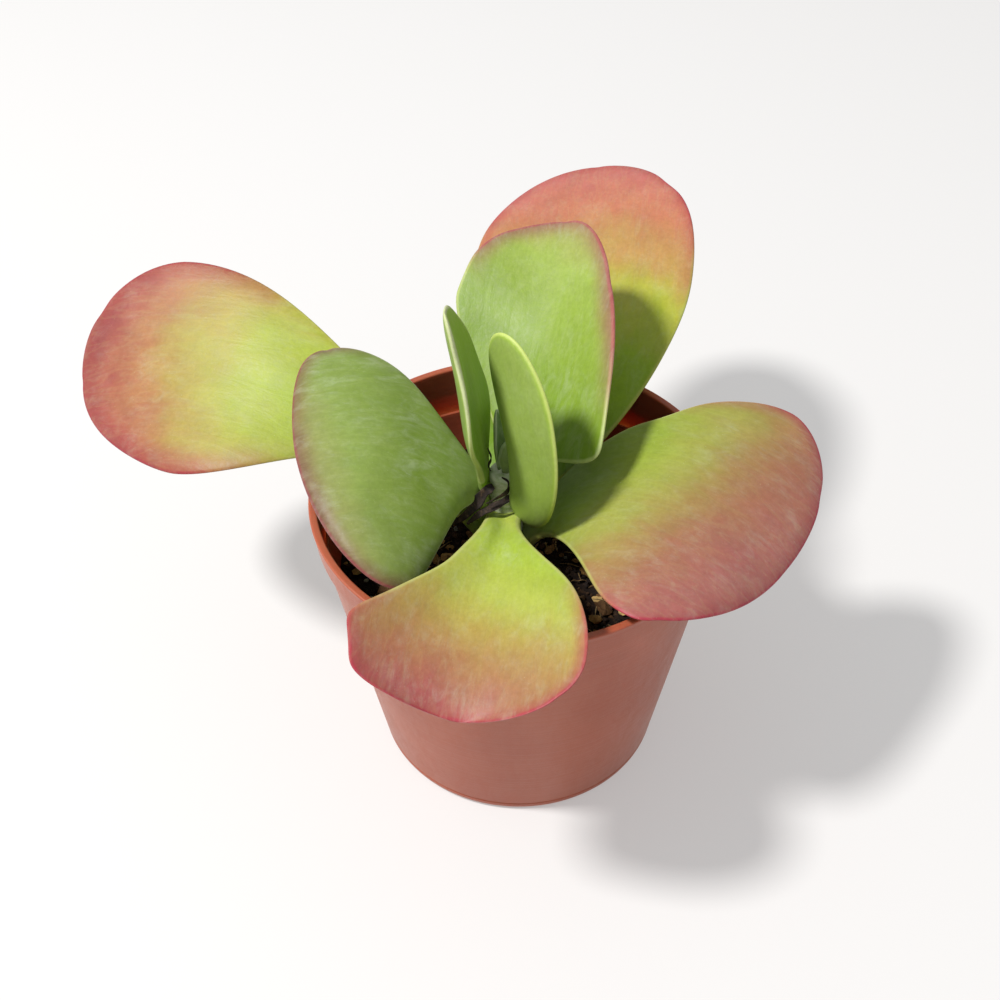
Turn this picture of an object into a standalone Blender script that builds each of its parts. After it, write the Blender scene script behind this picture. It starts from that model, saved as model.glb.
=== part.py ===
"""Potted paddle plant (kalanchoe) in a round terracotta-coloured nursery pot.

Units are metres with +Z up. The origin is the centre of the pot's underside, so the pot stands
on z = 0 and its axis is the Z axis. +Y points to the back of the plant and +X to its right.
Each physical piece is one named object: the pot, the soil, the stem, the leaves in opposite
pairs, the two bud leaves and the withered strips left by the oldest leaves.
"""
import math

import bpy
import bmesh
import numpy as np

MM = 0.001

# Pot: driving dimensions
POT_HEIGHT = 95 * MM
RIM_RADIUS = 60 * MM
BASE_RADIUS = 43.6 * MM
RIM_WIDTH = 2.3 * MM          # flat top of the rim
RIM_ROUND = 0.6 * MM
BAND_HEIGHT = 10 * MM         # plain band outside, under the rim
BAND_TAPER = 1.2 * MM         # how much slimmer the band is at its lower edge
BAND_STEP = 1.1 * MM          # how far the band stands proud of the wall
WALL = 1.2 * MM
LEDGE_DEPTH = 16 * MM         # stacking ledge inside, below the rim
LEDGE_WIDTH = 1.0 * MM
FLOOR = 1.8 * MM
BASE_ROUND = 2.0 * MM
FOOT_WIDTH = 5 * MM           # ring that the pot stands on
PAD_RADIUS = 13 * MM          # flat pad in the middle of the underside
CHANNEL_HEIGHT = 3 * MM       # raised floor between the pad and the foot ring
CHANNEL_SLOPE = 1.5 * MM
DRAIN_HOLES = 8
DRAIN_RADIUS = 4 * MM
POT_SIDES = 72

# Soil and stem
SOIL_DEPTH = 29 * MM          # from the rim down to the soil
SOIL_MOUND = 3 * MM           # how much higher the soil is round the stem
SOIL_LUMPS = 0.9 * MM
SOIL_SIDES = 60
STEM_X = -3.5 * MM
STEM_Y = 2 * MM
STEM_RADIUS = 4.4 * MM
STEM_FOOT = 26 * MM           # length of stem below the soil's surface
STEM_RISE = 6 * MM            # height of its top above the rim
STEM_SIDES = 20
STEM_TAPER = 0.16             # share of its radius that the stem loses from soil to bud
NODE_SWELLING = 0.18 * MM     # thickening of the stem at each leaf
NODE_SPREAD = 3 * MM

# Clearances between pieces that touch
SOIL_GAP = 0.3 * MM
STEM_GAP = 0.3 * MM
LEAF_GAP = 0.3 * MM

# Leaves. Angles in degrees: azimuth is the heading seen from above, 0 along +X and 90 along +Y,
# rise is the slope of the midrib at the stem and end its slope at the tip, veer is how far the
# heading turns along the leaf, roll tips the blade about its midrib (left side up when positive),
# twist adds to the roll towards the tip, cup is how far the margins turn up. Lengths are in
# millimetres: height is where the leaf leaves the stem, above the rim or below it when negative,
# and base its width there. widest is the share of the length where the blade is broadest, neck how
# slowly it widens up to there, blunt how squarely it ends, slant how far its left margin runs ahead
# of its right one, and bend below 1 turns the midrib early. A leaf with a foot stands on the stem's
# top, that far from its axis. The lowest pair starts as deep as it needs to arch over the rim.
LEAF_RINGS = 17
LEAF_SIDES = 22
LOW_PAIR_HEIGHT = -0.3 * RIM_RADIUS / MM
LEAF_SHAPES = {
    "leaf_left_low": dict(
        height=LOW_PAIR_HEIGHT, azimuth=151, veer=17, rise=41, end=-29, length=146, width=69,
        widest=0.73, base=12, neck=3.5, blunt=1.65, roll=-19, twist=-16, cup=9, slant=-0.24,
        thick=4.2),
    "leaf_right_low": dict(
        height=LOW_PAIR_HEIGHT, azimuth=-10, veer=-25, rise=60, end=-40, length=88, width=89,
        widest=0.72, base=13, neck=2.0, blunt=1.65, roll=7.5, twist=-4, cup=6.5, slant=0.11,
        thick=4.2),
    "leaf_front": dict(
        height=-9, azimuth=-95, veer=-7, rise=29, end=-19, length=82, width=64, widest=0.84,
        base=11, neck=2.7, blunt=2.1, roll=3, twist=-6, cup=40, slant=-0.21, thick=4.0),
    "leaf_back": dict(
        height=-9, azimuth=70, veer=16, rise=18, end=1.5, length=146, width=71.5, widest=0.63,
        base=10, neck=0.7, blunt=2.2, roll=5, twist=-14, cup=6, slant=-0.02, thick=4.0),
    "leaf_left_mid": dict(
        height=-3, azimuth=191, veer=2, rise=59, end=-9.5, length=60, width=86, widest=0.67,
        base=9, neck=1.5, blunt=2.3, roll=-20, twist=12, cup=-16, slant=-0.12, thick=4.0),
    "leaf_right_mid": dict(
        height=-3, azimuth=67, veer=17.5, rise=54, end=15, length=81.5, width=62.5, widest=0.37,
        base=11, neck=2.1, blunt=1.28, roll=-26, twist=14, cup=31, slant=0.7, thick=3.8),
    "leaf_inner_left": dict(
        height=3, azimuth=191, veer=12, rise=84.5, end=77.5, length=61.5, width=36, widest=0.45,
        base=8, neck=2.0, blunt=2.05, roll=-22, twist=5, cup=14, slant=0.23, thick=3.0),
    "leaf_inner_right": dict(
        height=-3.5, azimuth=-66, veer=7, rise=-25, end=139, bend=0.34, length=66, width=20.5,
        widest=0.61, base=5.6, neck=0.4, blunt=2.3, roll=-75, twist=5, cup=14, slant=-0.02,
        thick=2.4),
    "bud_leaf_back": dict(
        foot=1.9, height=6.4, azimuth=150, veer=0, rise=84, end=90, length=20, width=7,
        widest=0.45, base=3.0, neck=0.9, blunt=1.5, roll=0, twist=10, cup=40, slant=0.0, thick=1.2),
    "bud_leaf_front": dict(
        foot=1.7, height=6.4, azimuth=-85, veer=0, rise=72, end=88, length=13, width=5,
        widest=0.45, base=2.4, neck=0.9, blunt=1.5, roll=0, twist=-10, cup=40, slant=0.0,
        thick=1.1),
    "withered_strip_left": dict(
        height=2.5, azimuth=248, veer=-10, rise=-10, end=-40, length=10, width=2.6, widest=0.4,
        base=1.4, neck=0.8, blunt=1.6, roll=15, twist=40, cup=40, slant=0.0, thick=0.8),
    "withered_strip_right": dict(
        height=-0.5, azimuth=-92, veer=-20, rise=5, end=-35, length=8, width=2.2, widest=0.4,
        base=1.4, neck=0.8, blunt=1.6, roll=-10, twist=-30, cup=40, slant=0.0, thick=0.8),
}


def clear_scene():
    """Remove every object of the open scene."""
    for old in list(bpy.data.objects):
        bpy.data.objects.remove(old, do_unlink=True)


def material(name, colour, roughness, metallic=0.0):
    """Principled material with one colour."""
    mat = bpy.data.materials.new(name)
    mat.use_nodes = True
    shader = mat.node_tree.nodes["Principled BSDF"]
    shader.inputs["Base Color"].default_value = (*colour, 1.0)
    shader.inputs["Roughness"].default_value = roughness
    shader.inputs["Metallic"].default_value = metallic
    return mat


def add_object(name, vertices, faces, mat):
    """Closed mesh object with its normals outwards and smooth shading."""
    mesh = bpy.data.meshes.new(name)
    mesh.from_pydata([tuple(v) for v in vertices], [], faces)
    work = bmesh.new()
    work.from_mesh(mesh)
    bmesh.ops.recalc_face_normals(work, faces=work.faces)
    work.to_mesh(mesh)
    work.free()
    mesh.shade_smooth()
    mesh.set_sharp_from_angle(angle=math.radians(40))
    mesh.materials.append(mat)
    thing = bpy.data.objects.new(name, mesh)
    bpy.context.collection.objects.link(thing)
    return thing


def ring_faces(rings, sides, first=0):
    """Quads between consecutive rings of vertices."""
    faces = []
    for i in range(rings - 1):
        for j in range(sides):
            k = (j + 1) % sides
            low = first + i * sides
            high = low + sides
            faces.append((low + j, low + k, high + k, high + j))
    return faces


def turned(name, profile, sides, mat):
    """Turned solid. The profile runs from the axis, round the outside, back to the axis."""
    turn = np.linspace(0, 2 * math.pi, sides, endpoint=False)
    vertices = [(0.0, 0.0, profile[0][1])]
    for radius, height in profile[1:-1]:
        for angle in turn:
            vertices.append((radius * math.cos(angle), radius * math.sin(angle), height))
    vertices.append((0.0, 0.0, profile[-1][1]))
    rings = len(profile) - 2
    faces = ring_faces(rings, sides, first=1)
    last = len(vertices) - 1
    for j in range(sides):
        k = (j + 1) % sides
        faces.append((0, 1 + k, 1 + j))
        faces.append((last, last - sides + j, last - sides + k))
    return add_object(name, vertices, faces, mat)


def arc(centre, radius, start, end, steps):
    """Points of a quarter-round, angles in degrees from the +R axis towards +Z."""
    angles = np.radians(np.linspace(start, end, steps + 1))
    return [(centre[0] + radius * math.cos(a), centre[1] + radius * math.sin(a)) for a in angles]


# ---------------------------------------------------------------- pot

BAND_BOTTOM = POT_HEIGHT - BAND_HEIGHT
WALL_TOP_RADIUS = RIM_RADIUS - BAND_TAPER - BAND_STEP
LEDGE_Z = POT_HEIGHT - LEDGE_DEPTH
FLOOR_TOP = CHANNEL_HEIGHT + FLOOR


def wall_radius(z):
    """Outer radius of the pot's wall at height z, below the band."""
    return BASE_RADIUS + (WALL_TOP_RADIUS - BASE_RADIUS) * z / BAND_BOTTOM


def inner_radius(z):
    """Inner radius of the pot at height z, below the ledge."""
    return wall_radius(z) - WALL


def pot_profile():
    """Half section of the pot, from the pad round the outside to the floor inside."""
    foot_inner = BASE_RADIUS - FOOT_WIDTH
    lip_inner = RIM_RADIUS - RIM_WIDTH
    ledge_inner = inner_radius(LEDGE_Z)
    profile = [(0, 0), (PAD_RADIUS, 0), (PAD_RADIUS + CHANNEL_SLOPE, CHANNEL_HEIGHT)]
    profile += [(foot_inner - CHANNEL_SLOPE, CHANNEL_HEIGHT), (foot_inner, 0)]
    rounding = arc((wall_radius(BASE_ROUND) - BASE_ROUND, BASE_ROUND), BASE_ROUND, -90, 0, 4)
    profile += rounding
    profile += [(wall_radius(BAND_BOTTOM), BAND_BOTTOM)]
    profile += [(WALL_TOP_RADIUS + BAND_STEP, BAND_BOTTOM + BAND_STEP * 0.5)]
    outer_lip = (RIM_RADIUS - RIM_ROUND, POT_HEIGHT - RIM_ROUND)
    inner_lip = (lip_inner + RIM_ROUND, POT_HEIGHT - RIM_ROUND)
    profile += arc(outer_lip, RIM_ROUND, 0, 90, 2)
    profile += arc(inner_lip, RIM_ROUND, 90, 180, 2)
    profile += [(ledge_inner + LEDGE_WIDTH, LEDGE_Z), (ledge_inner, LEDGE_Z - LEDGE_WIDTH * 0.3)]
    profile += [(inner_radius(FLOOR_TOP + BASE_ROUND), FLOOR_TOP + BASE_ROUND)]
    profile += [(inner_radius(FLOOR_TOP) - BASE_ROUND, FLOOR_TOP), (0, FLOOR_TOP)]
    return profile


def drain_cutter():
    """Round pegs that cut the drainage holes, one joined guide object."""
    work = bmesh.new()
    ring = 0.5 * (PAD_RADIUS + BASE_RADIUS - FOOT_WIDTH)
    for i in range(DRAIN_HOLES):
        angle = 2 * math.pi * (i + 0.5) / DRAIN_HOLES
        made = bmesh.ops.create_cone(
            work, cap_ends=True, segments=16, radius1=DRAIN_RADIUS, radius2=DRAIN_RADIUS,
            depth=4 * FLOOR_TOP)
        bmesh.ops.translate(
            work, verts=made["verts"], vec=(ring * math.cos(angle), ring * math.sin(angle), 0))
    mesh = bpy.data.meshes.new("drain_cutter")
    work.to_mesh(mesh)
    work.free()
    cutter = bpy.data.objects.new("drain_cutter", mesh)
    bpy.context.collection.objects.link(cutter)
    cutter.hide_render = True
    cutter.display_type = "WIRE"
    return cutter


def build_pot():
    """Nursery pot with its drainage holes."""
    plastic = material("terracotta_plastic", (0.52, 0.17, 0.09), 0.45)
    pot = turned("pot", pot_profile(), POT_SIDES, plastic)
    cut = pot.modifiers.new("drain_holes", "BOOLEAN")
    cut.operation = "DIFFERENCE"
    cut.object = drain_cutter()
    return pot


# ---------------------------------------------------------------- soil and stem

SOIL_TOP = POT_HEIGHT - SOIL_DEPTH
STEM_TOP = POT_HEIGHT + STEM_RISE


def stem_radius(z):
    """Radius of the stem: thicker at the soil than at the bud, with a swelling at each leaf."""
    share = (z - SOIL_TOP) / (STEM_TOP - SOIL_TOP)
    radius = STEM_RADIUS * (1 + STEM_TAPER * (0.5 - share))
    for shape in LEAF_SHAPES.values():
        if "foot" in shape or shape["thick"] < 1:
            continue
        distance = (z - POT_HEIGHT - shape["height"] * MM) / NODE_SPREAD
        radius += NODE_SWELLING * math.exp(-distance * distance)
    return radius


def soil_height(x, y):
    """Lumpy surface of the soil, a little higher round the stem."""
    from_stem = math.hypot(x - STEM_X, y - STEM_Y)
    mound = SOIL_MOUND * math.exp(-(from_stem / (18 * MM)) ** 2)
    waves = math.sin(x / MM * 0.31 + 1.3) * math.cos(y / MM * 0.27 + 0.4)
    waves += 0.6 * math.sin(x / MM * 0.55 - y / MM * 0.47 + 2.1)
    return SOIL_TOP + mound + SOIL_LUMPS * waves * 0.6


def build_soil():
    """Root ball and potting soil, with a socket for the foot of the stem."""
    earth = material("potting_soil", (0.03, 0.02, 0.014), 0.95)
    turn = np.linspace(0, 2 * math.pi, SOIL_SIDES, endpoint=False)
    socket = stem_radius(SOIL_TOP) + STEM_GAP
    socket_floor = SOIL_TOP - STEM_FOOT - STEM_GAP
    bottom = FLOOR_TOP + SOIL_GAP
    corner = bottom + BASE_ROUND
    rings = []

    def ring_at(radius, height, centre=(0, 0)):
        return [(centre[0] + radius * math.cos(a), centre[1] + radius * math.sin(a), height)
                for a in turn]

    def surface_ring(share):
        """Ring between the socket (0) and the wall (1), on the soil's surface."""
        ring = []
        for a in turn:
            outer = inner_radius(SOIL_TOP) - SOIL_GAP - SOIL_LUMPS * 0.5
            x = (STEM_X + socket * math.cos(a)) * (1 - share) + outer * math.cos(a) * share
            y = (STEM_Y + socket * math.sin(a)) * (1 - share) + outer * math.sin(a) * share
            ring.append((x, y, soil_height(x, y)))
        return ring

    stem_centre = (STEM_X, STEM_Y)
    rings.append(ring_at(socket, socket_floor, stem_centre))
    for share in (0.0, 0.12, 0.26, 0.42, 0.58, 0.74, 0.88, 1.0):
        rings.append(surface_ring(share))
    top = SOIL_TOP - 2 * SOIL_LUMPS
    rings.append(ring_at(inner_radius(top) - SOIL_GAP, top))
    rings.append(ring_at(inner_radius(corner) - SOIL_GAP, corner))
    rings.append(ring_at(inner_radius(bottom) - SOIL_GAP - BASE_ROUND, bottom))
    vertices = [v for ring in rings for v in ring]
    faces = ring_faces(len(rings), SOIL_SIDES)
    faces.append(tuple(range(SOIL_SIDES)))
    start = (len(rings) - 1) * SOIL_SIDES
    faces.append(tuple(range(start, start + SOIL_SIDES)))
    return add_object("soil", vertices, faces, earth)


def build_stem():
    """Short stem with a foot in the soil and a domed top under the bud."""
    skin = material("stem_skin", (0.42, 0.52, 0.28), 0.6)
    turn = np.linspace(0, 2 * math.pi, STEM_SIDES, endpoint=False)
    foot = SOIL_TOP - STEM_FOOT
    heights = [foot, foot + 2 * MM, SOIL_TOP - 6 * MM, SOIL_TOP]
    heights += list(np.arange(SOIL_TOP + 4 * MM, STEM_TOP - 2 * MM, 3 * MM))
    rings = []
    for z in heights:
        radius = stem_radius(max(z, SOIL_TOP)) if z > foot else 0.8 * stem_radius(SOIL_TOP)
        rings.append((radius, z))
    rings += [(0.75 * stem_radius(STEM_TOP), STEM_TOP - 0.7 * MM)]
    rings += [(0.35 * stem_radius(STEM_TOP), STEM_TOP)]
    vertices = []
    for radius, z in rings:
        for a in turn:
            vertices.append((STEM_X + radius * math.cos(a), STEM_Y + radius * math.sin(a), z))
    faces = ring_faces(len(rings), STEM_SIDES)
    faces.append(tuple(range(STEM_SIDES)))
    start = (len(rings) - 1) * STEM_SIDES
    faces.append(tuple(range(start, start + STEM_SIDES)))
    return add_object("stem", vertices, faces, skin)


# ---------------------------------------------------------------- leaves

def paddle_half_width(t, shape):
    """Half-width of a paddle blade at t, 0 at the stem and 1 at the tip."""
    base = shape["base"] / 2
    full = shape["width"] / 2
    widest = shape["widest"]
    if t < widest:
        share = t / widest
        return base + (full - base) * math.sin(share * math.pi / 2) ** shape["neck"]
    share = (t - widest) / (1 - widest)
    return full * math.sqrt(max(1 - share ** shape["blunt"], 0))


def midrib(shape, start, steps=160):
    """Points and headings along the midrib, in millimetres."""
    bend = shape.get("bend", 1.0)
    points = [np.array(start, dtype=float)]
    step = shape["length"] / steps
    for i in range(steps):
        slope, heading = midrib_angles(shape, (i + 0.5) / steps, bend)
        points.append(points[-1] + step * direction(slope, heading))
    return np.array(points)


def midrib_angles(shape, t, bend):
    """Slope and heading of the midrib at t, in radians."""
    slope = math.radians(shape["rise"] + (shape["end"] - shape["rise"]) * t ** bend)
    heading = math.radians(shape["azimuth"] + shape["veer"] * t)
    return slope, heading


def direction(slope, heading):
    """Unit vector with that slope and heading."""
    flat = math.cos(slope)
    return np.array([flat * math.cos(heading), flat * math.sin(heading), math.sin(slope)])


def leaf_start(shape):
    """Where the midrib starts: clear of the stem's side, or on its top for a leaf with a foot."""
    heading = math.radians(shape["azimuth"])
    lean = abs(math.sin(math.radians(shape["rise"])))
    height = POT_HEIGHT / MM + shape["height"]
    beside_stem = (stem_radius(height * MM) + 2 * LEAF_GAP) / MM + 0.5 * shape["thick"] * lean
    reach = shape.get("foot", beside_stem)
    return (STEM_X / MM + reach * math.cos(heading), STEM_Y / MM + reach * math.sin(heading), height)


def leaf_ring(shape, t, centre):
    """Closed cross-section of the blade at t, margins rounded."""
    bend = shape.get("bend", 1.0)
    slope, heading = midrib_angles(shape, t, bend)
    ahead = direction(slope, heading)
    left = np.array([-math.sin(heading), math.cos(heading), 0.0])
    face = np.cross(ahead, left)
    roll = math.radians(shape["roll"] + shape["twist"] * t)
    side = left * math.cos(roll) + face * math.sin(roll)
    face = face * math.cos(roll) - left * math.sin(roll)
    half = paddle_half_width(t, shape)
    cup = math.radians(shape["cup"])
    closing = math.sqrt(max(1 - t ** 8, 0.0))
    ring = []
    for i in range(LEAF_SIDES):
        angle = 2 * math.pi * i / LEAF_SIDES
        across = math.cos(angle)
        bow = cup * across
        offset = side * half * math.sin(bow) / cup + face * half * (1 - math.cos(bow)) / cup
        offset = offset + ahead * shape["slant"] * half * across * math.sin(math.pi * t) ** 0.7
        upward = face * math.cos(bow) - side * math.sin(bow)
        depth = 0.5 * shape["thick"] * closing * math.sqrt(1 - abs(across) ** 3.5)
        ring.append(centre + offset + upward * math.copysign(depth, math.sin(angle)))
    return ring


def build_leaf(name, shape, mat):
    """One fleshy paddle leaf: rings from the stem to the tip, closed by a point."""
    points = midrib(shape, leaf_start(shape))
    along = np.linspace(0, 1, len(points))
    stations = [1 - (1 - i / LEAF_RINGS) ** 1.5 for i in range(LEAF_RINGS)]
    vertices = []
    for t in stations:
        centre = np.array([np.interp(t, along, points[:, axis]) for axis in range(3)])
        vertices += leaf_ring(shape, t, centre)
    vertices.append(points[-1])
    faces = ring_faces(len(stations), LEAF_SIDES)
    faces.append(tuple(range(LEAF_SIDES)))
    last = len(vertices) - 1
    for j in range(LEAF_SIDES):
        k = (j + 1) % LEAF_SIDES
        faces.append((last, last - LEAF_SIDES + j, last - LEAF_SIDES + k))
    return add_object(name, [v * MM for v in vertices], faces, mat)


def build_leaves():
    """Paddle leaves, oldest pair first, then the bud's leaves and the withered strips."""
    green = (0.36, 0.5, 0.12)
    young = (0.2, 0.32, 0.08)
    withered = (0.05, 0.03, 0.02)
    for name, shape in LEAF_SHAPES.items():
        colour = withered if name.startswith("withered") else green
        if name.startswith("bud"):
            colour = young
        build_leaf(name, shape, material(name + "_skin", colour, 0.5))


clear_scene()
build_pot()
build_soil()
build_stem()
build_leaves()
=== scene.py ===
import math

import bpy
import numpy as np
from mathutils import Matrix, Vector, noise


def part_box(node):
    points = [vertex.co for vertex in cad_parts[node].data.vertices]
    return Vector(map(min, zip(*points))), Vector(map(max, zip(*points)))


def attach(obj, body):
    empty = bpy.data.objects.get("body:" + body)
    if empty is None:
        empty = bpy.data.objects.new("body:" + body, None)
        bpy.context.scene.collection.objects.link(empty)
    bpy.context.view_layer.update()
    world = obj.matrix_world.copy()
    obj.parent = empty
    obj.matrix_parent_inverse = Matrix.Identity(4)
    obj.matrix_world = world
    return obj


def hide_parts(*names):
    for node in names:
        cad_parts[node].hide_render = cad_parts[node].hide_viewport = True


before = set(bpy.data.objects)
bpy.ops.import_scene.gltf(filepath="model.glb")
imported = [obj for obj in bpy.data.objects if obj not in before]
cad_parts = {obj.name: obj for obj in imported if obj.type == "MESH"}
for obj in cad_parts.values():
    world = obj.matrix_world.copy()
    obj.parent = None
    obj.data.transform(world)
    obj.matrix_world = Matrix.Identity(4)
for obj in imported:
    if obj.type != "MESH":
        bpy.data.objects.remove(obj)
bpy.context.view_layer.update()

MM = 0.001
rng = np.random.default_rng(11)

pot_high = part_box("pot")[1]
stem_low, stem_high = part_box("stem")
RIM_RADIUS = pot_high.x
POT_HEIGHT = pot_high.z
STEM_X = 0.5 * (stem_low.x + stem_high.x)
STEM_Y = 0.5 * (stem_low.y + stem_high.y)
STEM_TOP = stem_high.z
SOIL_DEPTH = 29 * MM          # from the rim down to the soil
SOIL_TOP = POT_HEIGHT - SOIL_DEPTH


# ---------------------------------------------------------------- meshes

def add_mesh(name, vertices, faces, material, smooth=True):
    """Mesh object linked to the scene, with one material."""
    mesh = bpy.data.meshes.new(name)
    mesh.from_pydata([tuple(v) for v in vertices], [], faces)
    mesh.materials.append(material)
    if smooth:
        mesh.shade_smooth()
    piece = bpy.data.objects.new(name, mesh)
    bpy.context.scene.collection.objects.link(piece)
    return piece


def add_attribute(piece, name, values):
    """Per-vertex number or vector that the material reads."""
    values = np.asarray(values, dtype=np.float32)
    vector = values.ndim == 2
    kind = "FLOAT_VECTOR" if vector else "FLOAT"
    attribute = piece.data.attributes.new(name, kind, "POINT")
    attribute.data.foreach_set("vector" if vector else "value", values.ravel())


def ring_faces(rings, sides):
    """Quads between consecutive rings of vertices."""
    faces = []
    for i in range(rings - 1):
        low = i * sides
        high = low + sides
        for j in range(sides):
            k = (j + 1) % sides
            faces.append((low + j, low + k, high + k, high + j))
    return faces


def capped_faces(rings, sides):
    """The same quads, with the first ring and the last one closed."""
    faces = ring_faces(rings, sides)
    faces.append(tuple(range(sides))[::-1])
    faces.append(tuple(range((rings - 1) * sides, rings * sides)))
    return faces


def show(piece, slot, *nodes):
    """The piece rides on the plant and stands for those nodes, which it hides; slot is not used."""
    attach(piece, "root")
    if nodes:
        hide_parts(*nodes)
    return piece


# ---------------------------------------------------------------- material nodes

LIGHT_GAIN = 1.3             # how much brighter than its own colour a lit surface looks here


def tone(red, green, blue):
    """Surface colour, linear, of something that looks like that 0-255 colour in the key light."""
    linear = []
    for value in (red, green, blue):
        share = value / 255
        light = share / 12.92 if share < 0.04045 else ((share + 0.055) / 1.055) ** 2.4
        linear.append(light / LIGHT_GAIN)
    return (*linear, 1.0)


class Graph:
    """Short calls for the nodes of one material."""

    def __init__(self, name, roughness, specular=0.5):
        self.material = bpy.data.materials.new(name)
        self.material.use_nodes = True
        self.tree = self.material.node_tree
        self.shader = self.tree.nodes["Principled BSDF"]
        self.shader.inputs["Roughness"].default_value = roughness
        self.shader.inputs["Specular IOR Level"].default_value = specular

    def put(self, socket, value):
        """Link a socket, or set a constant."""
        if isinstance(value, bpy.types.NodeSocket):
            self.tree.links.new(value, socket)
        else:
            socket.default_value = value

    def attribute(self, name, output="Fac"):
        node = self.tree.nodes.new("ShaderNodeAttribute")
        node.attribute_name = name
        return node.outputs[output]

    def split(self, vector):
        node = self.tree.nodes.new("ShaderNodeSeparateXYZ")
        self.put(node.inputs[0], vector)
        return node.outputs[0], node.outputs[1], node.outputs[2]

    def position(self):
        return self.tree.nodes.new("ShaderNodeTexCoord").outputs["Object"]

    def math(self, operation, first, second=0.0, clamp=False):
        node = self.tree.nodes.new("ShaderNodeMath")
        node.operation = operation
        node.use_clamp = clamp
        self.put(node.inputs[0], first)
        self.put(node.inputs[1], second)
        return node.outputs[0]

    def stretch(self, vector, scale):
        node = self.tree.nodes.new("ShaderNodeVectorMath")
        node.operation = "MULTIPLY"
        self.put(node.inputs[0], vector)
        node.inputs[1].default_value = scale
        return node.outputs[0]

    def ease(self, value, low, high, start=0.0, end=1.0):
        """Smooth step of value from low to high."""
        node = self.tree.nodes.new("ShaderNodeMapRange")
        node.interpolation_type = "SMOOTHSTEP"
        self.put(node.inputs["Value"], value)
        node.inputs["From Min"].default_value = low
        node.inputs["From Max"].default_value = high
        node.inputs["To Min"].default_value = start
        node.inputs["To Max"].default_value = end
        return node.outputs["Result"]

    def noise(self, vector, scale, detail=3.0, roughness=0.5, distortion=0.0):
        node = self.tree.nodes.new("ShaderNodeTexNoise")
        self.put(node.inputs["Vector"], vector)
        node.inputs["Scale"].default_value = scale
        node.inputs["Detail"].default_value = detail
        node.inputs["Roughness"].default_value = roughness
        node.inputs["Distortion"].default_value = distortion
        return node.outputs["Fac"]

    def ramp(self, value, stops):
        """Colour ramp through (position, colour) stops."""
        node = self.tree.nodes.new("ShaderNodeValToRGB")
        points = node.color_ramp.elements
        while len(points) < len(stops):
            points.new(0.5)
        for point, (position, colour) in zip(points, stops):
            point.position = position
            point.color = colour
        self.put(node.inputs[0], value)
        return node.outputs["Color"]

    def mix(self, share, first, second, blend="MIX"):
        node = self.tree.nodes.new("ShaderNodeMix")
        node.data_type = "RGBA"
        node.blend_type = blend
        self.put(node.inputs[0], share)
        self.put(node.inputs[6], first)
        self.put(node.inputs[7], second)
        return node.outputs[2]

    def bump(self, height, distance, strength=1.0, onto=None):
        node = self.tree.nodes.new("ShaderNodeBump")
        node.inputs["Strength"].default_value = strength
        node.inputs["Distance"].default_value = distance
        self.put(node.inputs["Height"], height)
        if onto is not None:
            self.put(node.inputs["Normal"], onto)
        return node.outputs["Normal"]

    def finish(self, colour, roughness=None, normal=None):
        self.put(self.shader.inputs["Base Color"], colour)
        if roughness is not None:
            self.put(self.shader.inputs["Roughness"], roughness)
        if normal is not None:
            self.put(self.shader.inputs["Normal"], normal)
        return self.material


# ---------------------------------------------------------------- leaf shapes

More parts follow.
